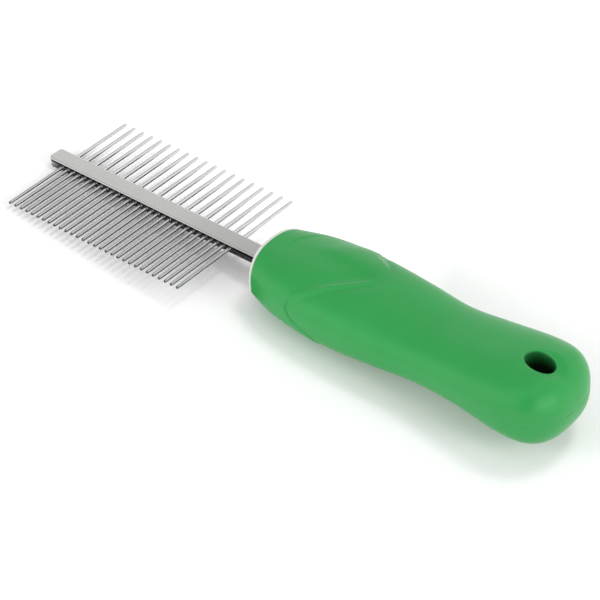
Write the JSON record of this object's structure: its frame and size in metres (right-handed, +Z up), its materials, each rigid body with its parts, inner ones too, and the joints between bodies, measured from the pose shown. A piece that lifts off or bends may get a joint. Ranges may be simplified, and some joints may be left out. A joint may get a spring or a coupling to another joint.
{
  "type": "double-sided grooming comb",
  "caption": "Flat plated comb bar with a coarse and a fine row of round pins on opposite edges, held in a contoured soft-grip handle with an oval hanging hole.",
  "frame": {"origin": "middle of the base of the whole object's box, with the comb's plane level", "axes": "+X from the bar's free end to the handle's tail, +Y towards the coarse row, +Z up through the thumb pad"},
  "size_m": [0.215, 0.0574, 0.0238],
  "materials": {
    "bar_plating": "satin nickel plate",
    "tooth_steel": "polished plated steel",
    "core_plastic": "natural translucent white moulding",
    "grip_rubber": "smooth satin soft-touch rubber"
  },
  "bodies": {
    "root": {"spine": "bar_plating", "handle_core": "core_plastic", "grip": "grip_rubber", "coarse_tooth_01": "tooth_steel", "coarse_tooth_02": "tooth_steel", "coarse_tooth_03": "tooth_steel", "coarse_tooth_04": "tooth_steel", "coarse_tooth_05": "tooth_steel", "coarse_tooth_06": "tooth_steel", "coarse_tooth_07": "tooth_steel", "coarse_tooth_08": "tooth_steel", "coarse_tooth_09": "tooth_steel", "coarse_tooth_10": "tooth_steel", "coarse_tooth_11": "tooth_steel", "coarse_tooth_12": "tooth_steel", "coarse_tooth_13": "tooth_steel", "coarse_tooth_14": "tooth_steel", "coarse_tooth_15": "tooth_steel", "coarse_tooth_16": "tooth_steel", "coarse_tooth_17": "tooth_steel", "coarse_tooth_18": "tooth_steel", "coarse_tooth_19": "tooth_steel", "fine_tooth_01": "tooth_steel", "fine_tooth_02": "tooth_steel", "fine_tooth_03": "tooth_steel", "fine_tooth_04": "tooth_steel", "fine_tooth_05": "tooth_steel", "fine_tooth_06": "tooth_steel", "fine_tooth_07": "tooth_steel", "fine_tooth_08": "tooth_steel", "fine_tooth_09": "tooth_steel", "fine_tooth_10": "tooth_steel", "fine_tooth_11": "tooth_steel", "fine_tooth_12": "tooth_steel", "fine_tooth_13": "tooth_steel", "fine_tooth_14": "tooth_steel", "fine_tooth_15": "tooth_steel", "fine_tooth_16": "tooth_steel", "fine_tooth_17": "tooth_steel", "fine_tooth_18": "tooth_steel", "fine_tooth_19": "tooth_steel", "fine_tooth_20": "tooth_steel", "fine_tooth_21": "tooth_steel", "fine_tooth_22": "tooth_steel", "fine_tooth_23": "tooth_steel", "fine_tooth_24": "tooth_steel", "fine_tooth_25": "tooth_steel", "fine_tooth_26": "tooth_steel", "fine_tooth_27": "tooth_steel", "fine_tooth_28": "tooth_steel", "fine_tooth_29": "tooth_steel", "fine_tooth_30": "tooth_steel"}
  },
  "joints": []
}
